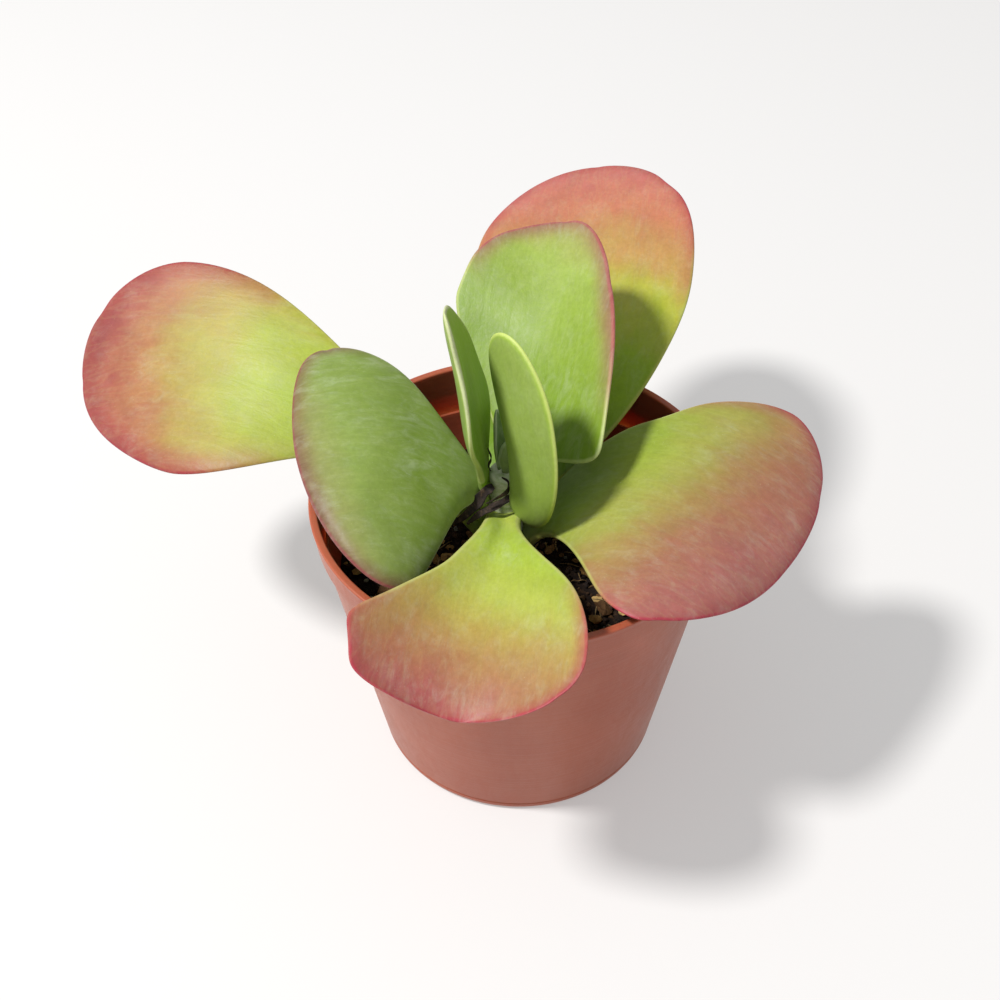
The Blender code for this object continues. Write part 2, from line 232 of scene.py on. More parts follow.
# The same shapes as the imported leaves, in millimetres and degrees. height is where the leaf leaves
# the stem, azimuth its heading there and veer how far the heading turns; rise and end are the
# midrib's slopes at the stem and at the tip; roll and twist tip the blade about its midrib, and cup
# turns its margins up. widest, neck, blunt and slant shape the outline.
LEAF_SHAPES = {
    "leaf_left_low": dict(
        height=77, azimuth=151, veer=17, rise=41, end=-29, length=146, width=69, widest=0.73,
        base=12, neck=3.5, blunt=1.65, roll=-19, twist=-16, cup=9, slant=-0.24, thick=4.2),
    "leaf_right_low": dict(
        height=77, azimuth=-10, veer=-25, rise=60, end=-40, length=88, width=89, widest=0.72,
        base=13, neck=2.0, blunt=1.65, roll=7.5, twist=-4, cup=6.5, slant=0.11, thick=4.2),
    "leaf_front": dict(
        height=86, azimuth=-95, veer=-7, rise=29, end=-19, length=82, width=64, widest=0.84,
        base=11, neck=2.7, blunt=2.1, roll=3, twist=-6, cup=40, slant=-0.21, thick=4.0),
    "leaf_back": dict(
        height=86, azimuth=70, veer=16, rise=18, end=1.5, length=146, width=71.5, widest=0.63,
        base=10, neck=0.7, blunt=2.2, roll=5, twist=-14, cup=6, slant=-0.02, thick=4.0),
    "leaf_left_mid": dict(
        height=92, azimuth=191, veer=2, rise=59, end=-9.5, length=60, width=86, widest=0.67,
        base=9, neck=1.5, blunt=2.3, roll=-20, twist=12, cup=-16, slant=-0.12, thick=4.0),
    "leaf_right_mid": dict(
        height=92, azimuth=67, veer=17.5, rise=54, end=15, length=81.5, width=62.5, widest=0.37,
        base=11, neck=2.1, blunt=1.28, roll=-26, twist=14, cup=31, slant=0.7, thick=3.8),
    "leaf_inner_left": dict(
        height=98, azimuth=191, veer=12, rise=84.5, end=77.5, length=61.5, width=36, widest=0.45,
        base=8, neck=2.0, blunt=2.05, roll=-22, twist=5, cup=14, slant=0.23, thick=3.0),
    "leaf_inner_right": dict(
        height=91.5, azimuth=-66, veer=7, rise=-25, end=139, bend=0.34, length=66, width=20.5,
        widest=0.61, base=5.6, neck=0.4, blunt=2.3, roll=-75, twist=5, cup=14, slant=-0.02,
        thick=2.4),
    "bud_leaf_back": dict(
        foot=1.9, height=101.4, azimuth=150, veer=0, rise=84, end=90, length=20, width=7,
        widest=0.45, base=3.0, neck=0.9, blunt=1.5, roll=0, twist=10, cup=40, slant=0.0, thick=1.2),
    "bud_leaf_front": dict(
        foot=1.7, height=101.4, azimuth=-85, veer=0, rise=72, end=88, length=13, width=5,
        widest=0.45, base=2.4, neck=0.9, blunt=1.5, roll=0, twist=-10, cup=40, slant=0.0,
        thick=1.1),
}

# Hollows and faults in the outline: (share of the length, side, depth, spread), side +1 for the
# left margin and -1 for the right one; a bulge has a negative depth.
NOTCHES = {
    "leaf_left_low": [(0.93, -1, 0.035, 0.02)],
    "leaf_right_low": [(0.93, 1, 0.03, 0.02), (0.8, -1, 0.012, 0.03), (0.42, 1, 0.06, 0.06)],
    "leaf_back": [(0.9, -1, 0.03, 0.03)],
    "leaf_left_mid": [(0.27, -1, 0.06, 0.1), (0.12, 1, 0.08, 0.1), (0.7, -1, 0.012, 0.02)],
    "leaf_right_mid": [(0.8, -1, 0.02, 0.03)],
    "leaf_front": [(0.4, -1, 0.16, 0.13), (0.69, -1, -0.13, 0.08), (0.86, -1, 0.03, 0.05),
                   (0.93, 1, 0.015, 0.012), (0.97, -1, 0.02, 0.012)],
    "leaf_inner_left": [(0.86, 1, 0.36, 0.24), (0.9, -1, 0.15, 0.15)],
}
ATTACH = 1.6                  # how far a leaf's base runs into the stem


def stem_surface(height):
    """Radius of the CAD stem near that height, in millimetres."""
    z = height * MM
    points = [v.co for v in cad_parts["stem"].data.vertices if abs(v.co.z - z) < 2.5 * MM]
    reach = [math.hypot(p.x - STEM_X, p.y - STEM_Y) for p in points]
    return max(reach) / MM


def half_width(shape, t, across, name):
    """Half-width of the blade at t for the left or right half, with its small waves and notches."""
    base = shape["base"] / 2
    full = shape["width"] / 2
    rising = np.sin(np.clip(t / shape["widest"], 0, 1) * np.pi / 2) ** shape["neck"]
    share = np.clip((t - shape["widest"]) / (1 - shape["widest"]), 0, 1)
    ending = np.sqrt(np.maximum(1 - share ** shape["blunt"], 0))
    half = np.where(t < shape["widest"], base + (full - base) * rising, full * ending)
    phase = shape["length"] * 0.7 + np.where(across > 0, 0.0, 2.3)
    half = half * (1 + 0.006 * np.sin(9 * t + phase) + 0.0035 * np.sin(23 * t + 2 * phase))
    for place, side, depth, spread in NOTCHES.get(name, []):
        half = half * (1 - depth * np.exp(-((t - place) / spread) ** 2) * (np.sign(across) == side))
    return half


def leaf_grid(name, shape, rows, sides):
    """Vertices (rows, sides, 3) of the closed blade and what its material reads, in millimetres."""
    count = 240
    along = np.linspace(0, 1, count + 1)
    middle = (along[1:] + along[:-1]) / 2
    bend = shape.get("bend", 1.0)

    def angles(t):
        t = np.clip(t, 0, 1)
        slope = np.radians(shape["rise"] + (shape["end"] - shape["rise"]) * t ** bend)
        return slope, np.radians(shape["azimuth"] + shape["veer"] * t)

    def heading_vector(slope, heading):
        flat = np.cos(slope)
        return np.stack([flat * np.cos(heading), flat * np.sin(heading), np.sin(slope)], -1)

    turn = math.radians(shape["azimuth"])
    lean = abs(math.sin(math.radians(shape["rise"])))
    beside = stem_surface(shape["height"]) + 0.6 + 0.5 * shape["thick"] * lean
    reach = shape.get("foot", beside)
    start = np.array([STEM_X / MM + reach * math.cos(turn), STEM_Y / MM + reach * math.sin(turn),
                      shape["height"]])
    steps = heading_vector(*angles(middle)) * shape["length"] / count
    spine = np.concatenate([[start], start + np.cumsum(steps, 0)])

    stations = 1 - (1 - np.arange(rows - 2) / (rows - 2)) ** 1.5
    t = np.concatenate([[-ATTACH / shape["length"], -0.4 * ATTACH / shape["length"]], stations])
    centre = np.stack([np.interp(t, along, spine[:, axis]) for axis in range(3)], -1)
    slope, heading = angles(t)
    ahead = heading_vector(slope, heading)
    centre = centre + ahead * (np.minimum(t, 0) * shape["length"])[:, None]
    left = np.stack([-np.sin(heading), np.cos(heading), 0 * heading], -1)
    face = np.cross(ahead, left)
    roll = np.radians(shape["roll"] + shape["twist"] * np.clip(t, 0, 1))[:, None]
    side = left * np.cos(roll) + face * np.sin(roll)
    face = face * np.cos(roll) - left * np.sin(roll)

    angle = np.linspace(0, 2 * np.pi, sides, endpoint=False)
    across = np.cos(angle)[None, :]
    grid_t = np.repeat(t[:, None], sides, 1)
    half = half_width(shape, grid_t, across, name)
    cup = math.radians(shape["cup"])
    bow = cup * across
    flow = np.sin(np.pi * np.clip(t, 0, 1))[:, None] ** 0.7
    offset = side[:, None] * (half * np.sin(bow) / cup)[..., None]
    offset = offset + face[:, None] * (half * (1 - np.cos(bow)) / cup)[..., None]
    offset = offset + ahead[:, None] * (shape["slant"] * half * across * flow)[..., None]
    upward = face[:, None] * np.cos(bow)[..., None] - side[:, None] * np.sin(bow)[..., None]
    closing = np.sqrt(np.maximum(1 - np.clip(t, 0, 1) ** 8, 0))[:, None]
    body = np.sqrt(1 - np.abs(across) ** 3.5) * np.sign(np.sin(angle))[None, :]
    depth = 0.5 * shape["thick"] * closing * body

    seed = shape["length"] * 0.37
    size = min(shape["width"] / 70, 1.0)
    ripple = np.sin(5.2 * grid_t + 1.9 * across + seed) * np.sin(3.1 * across + seed)
    ripple = 0.55 * ripple + 0.25 * np.sin(11 * grid_t - 2.7 * across + 2 * seed)
    edge_wave = np.abs(across) ** 4 * np.sin(13 * grid_t + 3 * seed + np.sign(across)) * 0.5
    fade = np.clip(grid_t * 6, 0, 1) * closing
    groove = -0.5 * np.exp(-(across * half / 2.2) ** 2) * np.exp(-np.clip(t, 0, 1) * 2.2)[:, None]
    groove = groove * (np.sin(angle) > 0)[None, :]
    depth = depth + size * fade * (ripple + edge_wave) + size * groove * fade
    vertices = centre[:, None] + offset + upward * depth[..., None]

    flat_along = grid_t * shape["length"] + shape["slant"] * half * across * flow
    flat_across = half * across
    upper = np.repeat((np.sin(angle) > -1e-6)[None, :].astype(float), len(t), 0)
    return vertices, grid_t, np.repeat(across, len(t), 0), flat_along, flat_across, upper, spine[-1]


def margin_distance(flat_along, flat_across, t, across):
    """Distance in millimetres from each point of the flattened blade to its margin."""
    rows = t[:, 0] > 0.02
    left = np.argmax(across[0])
    right = np.argmin(across[0])
    edge = np.concatenate([
        np.stack([flat_along[rows, left], flat_across[rows, left]], -1),
        np.stack([flat_along[rows, right], flat_across[rows, right]], -1)[::-1]])
    points = np.stack([flat_along.ravel(), flat_across.ravel()], -1)
    first = edge[:-1]
    run = edge[1:] - edge[:-1]
    length = (run ** 2).sum(-1) + 1e-9
    share = np.clip(((points[:, None] - first) * run).sum(-1) / length, 0, 1)
    near = first + share[..., None] * run
    return np.sqrt(((points[:, None] - near) ** 2).sum(-1)).min(1)


def build_blade(name, shape, material, rows=84, sides=56):
    """Fine leaf mesh with the numbers that its material reads."""
    vertices, t, across, flat_along, flat_across, upper, tip = leaf_grid(name, shape, rows, sides)
    faces = ring_faces(len(t), sides)
    faces.append(tuple(range(sides))[::-1])
    flat = vertices.reshape(-1, 3)
    last = len(flat)
    for j in range(sides):
        faces.append((last, last - sides + j, last - sides + (j + 1) % sides))
    points = np.concatenate([flat, [tip]]) * MM
    piece = add_mesh(name + "_blade", points, faces, material)
    distance = margin_distance(flat_along, flat_across, t, across)
    look = np.stack([t.ravel(), across.ravel(), distance], -1)
    place = np.stack([flat_along.ravel(), flat_across.ravel(), 4 * upper.ravel()], -1)
    add_attribute(piece, "look", np.concatenate([look, [[1, 0, 0]]]))
    add_attribute(piece, "place", np.concatenate([place, [[shape["length"], 0, 4]]]))
    add_attribute(piece, "upper", np.concatenate([upper.ravel(), [1]]))
    return piece


# ---------------------------------------------------------------- leaf looks

def leaf_material(name, stops, skew, margin, line, margin_width=5.0, margin_from=0.35, bloom=0.3,
                  sheen=(205, 214, 190), curve=0.0):
    """Waxy leaf skin.

    stops run from the stem to the tip; skew moves the colours ahead on the left half and back on
    the right one, and curve moves them ahead towards both margins. margin is the blush along the
    edge, from margin_from onwards, and line the thin lip of the edge at the stem and at the tip.
    """
    g = Graph(name, 0.45, 0.25)
    along, across, rim = g.split(g.attribute("look", "Vector"))
    place = g.attribute("place", "Vector")
    upper = g.attribute("upper")
    cloud = g.noise(place, 0.045, 3.0, 0.55)
    streak = g.noise(g.stretch(place, (0.05, 0.2, 1.0)), 1.0, 4.0, 0.55, 0.5)
    grain = g.noise(place, 0.9, 3.0, 0.6)

    blush = g.math("ADD", along, g.math("MULTIPLY", across, skew))
    if curve:
        blush = g.math("ADD", blush, g.math("MULTIPLY", g.math("MULTIPLY", across, across), curve))
    shift = g.math("MULTIPLY", g.math("SUBTRACT", cloud, 0.5), 0.22)
    shift = g.math("ADD", shift, g.math("MULTIPLY", g.math("SUBTRACT", streak, 0.5), 0.10))
    blush = g.math("ADD", blush, shift)
    colour = g.ramp(blush, [(p, tone(*c)) for p, c in stops])

    under = g.mix(0.45, colour, tone(150, 160, 110))
    colour = g.mix(upper, under, colour)

    width = g.math("ADD", rim, g.math("MULTIPLY", g.math("SUBTRACT", cloud, 0.5), margin_width))
    edge = g.ease(width, 0.0, margin_width, 1.0, 0.0)
    reach = g.ease(g.math("ADD", along, shift), margin_from, margin_from + 0.3)
    colour = g.mix(g.math("MULTIPLY", g.math("MULTIPLY", edge, reach), 0.8), colour, tone(*margin))

    lip = g.ease(rim, 0.35, 1.1, 1.0, 0.0)
    lip_colour = g.mix(reach, tone(*line[0]), tone(*line[1]))
    colour = g.mix(g.math("MULTIPLY", lip, 0.75), colour, lip_colour)

    powder = g.noise(place, 0.11, 5.0, 0.65, 0.4)
    brushed = g.noise(g.stretch(place, (0.12, 0.3, 1.0)), 1.0, 6.0, 0.7, 1.2)
    dust = g.math("MULTIPLY", g.ease(powder, 0.35, 0.7), g.ease(brushed, 0.35, 0.7))
    dust = g.math("MULTIPLY", dust, 0.75 * bloom)
    colour = g.mix(dust, colour, tone(*sheen))

    veins = g.ease(g.math("ABSOLUTE", g.math("SUBTRACT", streak, 0.5)), 0.0, 0.05, 1.0, 0.0)
    colour = g.mix(g.math("MULTIPLY", veins, 0.05), colour, tone(215, 220, 150))
    patch = g.ease(g.noise(place, 0.07, 2.0, 0.5, 0.6), 0.3, 0.7, 0.94, 1.05)
    colour = g.mix(1.0, colour, patch, "MULTIPLY")
    specks = g.ease(g.noise(place, 2.4, 2.0, 0.5), 0.68, 0.8)
    colour = g.mix(g.math("MULTIPLY", specks, 0.25), colour, tone(225, 225, 190))
    shade = g.ease(grain, 0.2, 0.8, 0.93, 1.07)
    colour = g.mix(1.0, colour, shade, "MULTIPLY")

    roughness = g.math("ADD", g.math("MULTIPLY", dust, 0.5), g.ease(grain, 0.2, 0.8, 0.38, 0.5))
    normal = g.bump(grain, 0.00008, 0.6)
    normal = g.bump(streak, 0.0005, 0.4, normal)
    g.shader.inputs["Subsurface Weight"].default_value = 0.12
    g.shader.inputs["Subsurface Scale"].default_value = 0.002
    g.shader.inputs["Subsurface Radius"].default_value = (0.8, 1.0, 0.25)
    return g.finish(colour, roughness, normal)


LEAF_LOOKS = {
    "leaf_left_low": dict(
        stops=[(0.2, (120, 150, 30)), (0.42, (168, 194, 50)), (0.58, (172, 184, 62)),
               (0.7, (180, 164, 74)), (0.82, (180, 128, 82)), (0.93, (170, 94, 80)),
               (1.0, (154, 78, 76))],
        skew=-0.03, curve=0.12, margin=(164, 78, 72), line=((190, 196, 90), (166, 52, 66)),
        margin_width=9.0, margin_from=0.4, bloom=0.22),
    "leaf_right_low": dict(
        stops=[(0.08, (150, 176, 90)), (0.25, (140, 166, 60)), (0.38, (156, 176, 62)),
               (0.52, (164, 164, 76)), (0.64, (170, 138, 82)), (0.76, (174, 118, 90)),
               (0.92, (178, 108, 100))],
        skew=-0.12, curve=0.06, margin=(172, 88, 88), line=((200, 208, 110), (184, 48, 76)),
        margin_width=5.0, margin_from=0.4, bloom=0.26),
    "leaf_front": dict(
        stops=[(0.0, (196, 212, 88)), (0.12, (174, 198, 72)), (0.34, (172, 194, 68)),
               (0.54, (178, 186, 80)), (0.68, (184, 160, 80)), (0.84, (178, 126, 84)),
               (1.0, (174, 92, 88))],
        skew=-0.15, curve=0.0, margin=(176, 84, 82), line=((200, 204, 120), (184, 56, 78)),
        margin_width=5.0, margin_from=0.5, bloom=0.3),
    "leaf_back": dict(
        stops=[(0.2, (112, 150, 18)), (0.4, (152, 186, 22)), (0.54, (184, 186, 66)),
               (0.66, (198, 158, 88)), (0.8, (202, 130, 96)), (0.98, (202, 116, 108))],
        skew=0.02, curve=0.08, margin=(188, 90, 84), line=((190, 196, 90), (190, 66, 80)),
        margin_width=5.0, margin_from=0.5, bloom=0.2),
    "leaf_left_mid": dict(
        stops=[(0.0, (164, 188, 100)), (0.22, (142, 168, 80)), (0.45, (124, 150, 60)),
               (0.75, (140, 162, 78)), (0.95, (152, 152, 90))],
        skew=0.05, curve=0.0, margin=(120, 70, 62), line=((196, 210, 160), (150, 66, 76)),
        margin_width=6.5, margin_from=0.42, bloom=0.4),
    "leaf_right_mid": dict(
        stops=[(0.0, (124, 158, 36)), (0.35, (128, 160, 40)), (0.55, (140, 168, 54)),
               (0.8, (160, 184, 78)), (1.0, (176, 172, 100))],
        skew=0.0, curve=0.0, margin=(156, 92, 92), line=((204, 216, 140), (180, 82, 92)),
        margin_width=8.0, margin_from=0.4, bloom=0.3),
    "leaf_inner_left": dict(
        stops=[(0.0, (136, 178, 30)), (0.5, (122, 168, 30)), (1.0, (140, 178, 50))],
        skew=0.0, margin=(160, 190, 84), line=((214, 226, 140), (222, 226, 180)),
        margin_width=2.5, margin_from=0.3, bloom=0.12),
    "leaf_inner_right": dict(
        stops=[(0.0, (160, 198, 40)), (0.5, (154, 190, 38)), (1.0, (152, 186, 48))],
        skew=0.0, margin=(168, 204, 52), line=((196, 226, 70), (214, 228, 130)),
        margin_width=2.0, margin_from=0.1, bloom=0.14),
}
BUD_LOOK = dict(
    stops=[(0.0, (96, 128, 60)), (1.0, (112, 146, 88))], skew=0.0, margin=(150, 170, 130),
    line=((160, 180, 130), (180, 196, 160)), margin_width=1.2, margin_from=0.2, bloom=0.4)


def build_leaves():
    """Eight paddle leaves and the two leaves of the bud."""
    for name, look in LEAF_LOOKS.items():
        skin = leaf_material(name + "_skin", **look)
        show(build_blade(name, LEAF_SHAPES[name], skin), "leaf_skin", name)
    for name in ("bud_leaf_back", "bud_leaf_front"):
        skin = leaf_material(name + "_skin", **BUD_LOOK)
        show(build_blade(name, LEAF_SHAPES[name], skin, 40, 28), "bud_skin", name)


# ---------------------------------------------------------------- stem and withered strips

STEM_SIDES = 64
SCARS = [72 * MM, 77 * MM, 86 * MM, 92 * MM]     # heights of the leaves' scars
SCAR_SWELLING = 0.28 * MM
SCAR_SPREAD = 1.3 * MM
STEM_DOME = 1.2 * MM                             # height of the rounded tip


def build_stem():
    """Stem with leaf scars, corky near the soil and pale green above."""
    g = Graph("stem_skin", 0.55)
    place = g.position()
    height = g.split(place)[2]
    cork = g.noise(g.stretch(place, (400.0, 400.0, 900.0)), 1.0, 4.0, 0.6)
    low = g.ease(g.math("ADD", height, g.math("MULTIPLY", cork, 0.008)), SOIL_TOP, SOIL_TOP + 22 * MM)
    green = g.mix(g.ease(cork, 0.35, 0.7), tone(226, 230, 206), tone(180, 198, 146))
    bark = g.mix(g.ease(cork, 0.35, 0.7), tone(128, 108, 78), tone(74, 60, 42))
    skin = g.finish(g.mix(low, bark, green), normal=g.bump(cork, 0.0004, 0.8))
    heights = np.arange(stem_low.z, STEM_TOP - STEM_DOME, 0.5 * MM)
    base = stem_surface(STEM_TOP / MM - 8) * MM
    vertices = []
    for z in heights:
        radius = base * (1.0 + 0.25 * max(SOIL_TOP + 6 * MM - z, 0) / (30 * MM))
        for scar in SCARS:
            radius += SCAR_SWELLING * math.exp(-((z - scar) / SCAR_SPREAD) ** 2)
        for angle in np.linspace(0, 2 * np.pi, STEM_SIDES, endpoint=False):
            wobble = 0.12 * MM * noise.noise(Vector((3 * math.cos(angle), 3 * math.sin(angle), z * 220)))
            reach = radius + wobble
            vertices.append((STEM_X + reach * math.cos(angle), STEM_Y + reach * math.sin(angle), z))
    for share, rise in ((0.9, 0.7), (0.7, 1.0), (0.4, 1.15)):
        for angle in np.linspace(0, 2 * np.pi, STEM_SIDES, endpoint=False):
            reach = base * share
            z = heights[-1] + rise * MM
            vertices.append((STEM_X + reach * math.cos(angle), STEM_Y + reach * math.sin(angle), z))
    rings = len(heights) + 3
    faces = capped_faces(rings, STEM_SIDES)
    show(add_mesh("stem_body", vertices, faces, skin), "stem_skin", "stem")


def smooth_route(points, count):
    """Points of a smooth curve through those points."""
    points = [Vector(p) for p in points]
    ends = [2 * points[0] - points[1]] + points + [2 * points[-1] - points[-2]]
    route = []
    for i in range(count):
        place = i / (count - 1) * (len(points) - 1)
        k = min(int(place), len(points) - 2)
        u = place - k
        a, b, c, d = ends[k:k + 4]
        route.append(0.5 * (2 * b + (c - a) * u + (2 * a - 5 * b + 4 * c - d) * u * u
                            + (3 * b - a - 3 * c + d) * u ** 3))
    return route


def ribbon(route, width, thick, turn, curl, sides=12):
    """Vertices and faces of a dried, curled strip along a route, in millimetres."""
    count = len(route)
    vertices = []
    for i, point in enumerate(route):
        share = i / (count - 1)
        ahead = (route[min(i + 1, count - 1)] - route[max(i - 1, 0)]).normalized()
        flat = ahead.cross(Vector((0.2, 0.1, 1.0))).normalized()
        rise = flat.cross(ahead)
        angle = turn[0] + (turn[1] - turn[0]) * share + 0.25 * math.sin(9 * share)
        across = flat * math.cos(angle) + rise * math.sin(angle)
        face = across.cross(ahead)
        half = 0.5 * width * (0.35 + 0.65 * math.sin(math.pi * min(share * 0.85 + 0.12, 1)))
        half *= 1 + 0.12 * math.sin(17 * share)
        for j in range(sides):
            phase = 2 * math.pi * j / sides
            x = half * math.cos(phase)
            y = 0.5 * thick * math.sin(phase) + curl * (math.cos(phase) ** 2 - 0.5) * half
            vertices.append(point + across * x + face * y)
    return vertices, capped_faces(count, sides)


def withered_material():
    """Dry, dark brown tissue with pale torn fibres."""
    g = Graph("withered_skin", 0.7, 0.3)
    place = g.position()
    fibre = g.noise(g.stretch(place, (900.0, 900.0, 260.0)), 1.0, 5.0, 0.7)
    colour = g.ramp(fibre, [(0.35, tone(22, 16, 15)), (0.56, tone(52, 38, 30)),
                            (0.68, tone(96, 76, 58)), (0.78, tone(186, 168, 142))])
    return g.finish(colour, normal=g.bump(fibre, 0.0004))


def build_withered():
    """Dried strips and threads that hang where the oldest leaves were."""
    skin = withered_material()
    x, y = STEM_X / MM, STEM_Y / MM
    strips = {
        "withered_strip_left": [
            ([(-3.5, -4.4, 98), (-6.0, -6.0, 97), (-8.5, -8.0, 94.5), (-11.5, -10.5, 92.5),
              (-15.5, -13.0, 91.0)], 3.2, 0.5, (0.2, 1.4), 0.35),
            ([(-1.0, -4.6, 101.5), (0.8, -6.2, 101.0), (0.2, -7.6, 98.6), (-2.6, -8.2, 96.8),
              (-5.5, -9.2, 95.6)], 1.4, 0.4, (0.8, 2.2), 0.2)],
        "withered_strip_right": [
            ([(2.2, -4.6, 94.5), (-0.6, -6.6, 94.0), (-3.6, -8.2, 93.2), (-7.4, -9.8, 92.2),
              (-11.0, -12.2, 90.6)], 2.4, 0.5, (0.1, 0.9), 0.3),
            ([(-4.2, -2.4, 102.0), (-4.8, -3.6, 105.0), (-4.0, -4.2, 108.6), (-4.9, -3.9, 112.0)],
             0.7, 0.3, (0.0, 1.6), 0.1)],
    }
    for name, parts in strips.items():
        vertices = []
        faces = []
        for points, width, thick, turn, curl in parts:
            route = smooth_route([(x + a, y + b, c) for a, b, c in points], 40)
            made, made_faces = ribbon(route, width, thick, turn, curl)
            first = len(vertices)
            vertices += [p * MM for p in made]
            faces += [tuple(first + i for i in face) for face in made_faces]
        show(add_mesh(name + "_dry", vertices, faces, skin), "withered_skin", name)


# ---------------------------------------------------------------- pot

def arc(centre, radius, start, end, steps):
    """Points of a round from start to end, angles in degrees from +R towards +Z."""
    angles = np.radians(np.linspace(start, end, steps + 1))
    return [(centre[0] + radius * math.cos(a), centre[1] + radius * math.sin(a)) for a in angles]


POT_SIDES = 240
BASE_RADIUS = 43.6 * MM
BAND_HEIGHT = 10 * MM
BAND_TAPER = 1.2 * MM
BAND_STEP = 1.1 * MM
RIM_WIDTH = 2.3 * MM
WALL = 1.2 * MM
LEDGE_DEPTH = 16 * MM
FLOOR_TOP = 4.8 * MM
FOOT_WIDTH = 5 * MM
PAD_RADIUS = 13 * MM
DRAIN_HOLES = 8
DRAIN_RADIUS = 4 * MM
HOLE_SIDES = 48
BAND_BOTTOM = POT_HEIGHT - BAND_HEIGHT
WALL_TOP_RADIUS = RIM_RADIUS - BAND_TAPER - BAND_STEP


def wall_radius(z):
    """Outer radius of the wall at height z."""
    return BASE_RADIUS + (WALL_TOP_RADIUS - BASE_RADIUS) * z / BAND_BOTTOM


def pot_profile():
    """Half section from the pad under the pot, round the outside and the lip, to the floor."""
    foot = 2 * MM
    channel = 3 * MM
    slope = 1.5 * MM
    foot_inner = BASE_RADIUS - FOOT_WIDTH
    ledge_z = POT_HEIGHT - LEDGE_DEPTH
    ledge_inner = wall_radius(ledge_z) - WALL
    round_up = 0.55 * MM
    profile = [(PAD_RADIUS - 0.3 * MM, 0), (PAD_RADIUS, 0.25 * MM)]
    profile += [(PAD_RADIUS + slope, channel), (foot_inner - slope, channel)]
    profile += [(foot_inner, 0.3 * MM), (foot_inner + 0.3 * MM, 0)]
    profile += arc((wall_radius(foot) - foot, foot), foot, -90, 0, 10)
    groove = 0.25 * MM
    profile += [(wall_radius(2.6 * MM), 2.6 * MM), (wall_radius(3 * MM) - groove, 2.9 * MM)]
    profile += [(wall_radius(3 * MM) - groove, 3.3 * MM), (wall_radius(3.7 * MM), 3.6 * MM)]
    for share in np.linspace(0.05, 0.985, 34):
        z = foot + (BAND_BOTTOM - foot) * share
        profile.append((wall_radius(z), z))
    step_z = BAND_BOTTOM + 0.15 * MM
    profile += arc((WALL_TOP_RADIUS + 0.25 * MM, step_z + 0.05 * MM), 0.25 * MM, 190, 100, 4)
    profile += arc((WALL_TOP_RADIUS + BAND_STEP - 0.35 * MM, step_z + 0.65 * MM), 0.35 * MM, -80, 0, 5)
    for share in np.linspace(0.15, 0.9, 6):
        z = step_z + (POT_HEIGHT - step_z) * share
        profile.append((WALL_TOP_RADIUS + BAND_STEP + BAND_TAPER * share * 0.96, z))
    lip_outer = (RIM_RADIUS - round_up, POT_HEIGHT - round_up)
    profile += arc(lip_outer, round_up, 0, 90, 6)
    lip_inner = (RIM_RADIUS - RIM_WIDTH + round_up, POT_HEIGHT - round_up)
    profile += arc(lip_inner, round_up, 90, 180, 6)
    shelf = ledge_inner + 1.0 * MM
    for share in np.linspace(0.1, 0.95, 8):
        z = POT_HEIGHT - round_up - (LEDGE_DEPTH - round_up) * share
        profile.append((RIM_RADIUS - RIM_WIDTH + (shelf - RIM_RADIUS + RIM_WIDTH) * share, z))
    profile += arc((shelf - 0.35 * MM, ledge_z - 0.1 * MM), 0.35 * MM, 10, 90, 4)
    profile += arc((ledge_inner + 0.25 * MM, ledge_z), 0.3 * MM, 90, 180, 4)
    for share in np.linspace(0.05, 0.95, 12):
        z = ledge_z + (FLOOR_TOP + foot - ledge_z) * share
        profile.append((wall_radius(z) - WALL, z))
    profile += [(wall_radius(FLOOR_TOP) - WALL - foot, FLOOR_TOP), (20 * MM, FLOOR_TOP)]
    return profile


def pot_material():
    """Moulded terracotta-coloured plastic, satin, with a fine grain and faint scuffs."""
    g = Graph("terracotta_plastic", 0.4, 0.4)
    place = g.position()
    cloud = g.noise(place, 28.0, 3.0, 0.5)
    grain = g.noise(place, 2600.0, 2.0, 0.6)
    scuffs = g.noise(g.stretch(place, (240.0, 240.0, 90.0)), 1.0, 5.0, 0.7, 0.8)
    rings = g.noise(g.stretch(place, (6.0, 6.0, 900.0)), 1.0, 2.0, 0.5)
    colour = g.mix(g.ease(cloud, 0.3, 0.7), tone(178, 92, 64), tone(188, 102, 73))
    colour = g.mix(g.ease(scuffs, 0.62, 0.85, 0.0, 0.12), colour, tone(222, 170, 150))
    colour = g.mix(g.ease(rings, 0.45, 0.75, 0.0, 0.10), colour, tone(176, 98, 76))
    colour = g.mix(1.0, colour, g.ease(grain, 0.2, 0.8, 0.95, 1.05), "MULTIPLY")
    roughness = g.ease(scuffs, 0.3, 0.8, 0.34, 0.46)
    normal = g.bump(grain, 0.00006, 0.7)
    normal = g.bump(rings, 0.00012, 0.5, normal)
    g.shader.inputs["Subsurface Weight"].default_value = 0.35
    g.shader.inputs["Subsurface Scale"].default_value = 0.003
    g.shader.inputs["Subsurface Radius"].default_value = (1.0, 0.4, 0.25)
    return g.finish(colour, roughness, normal)


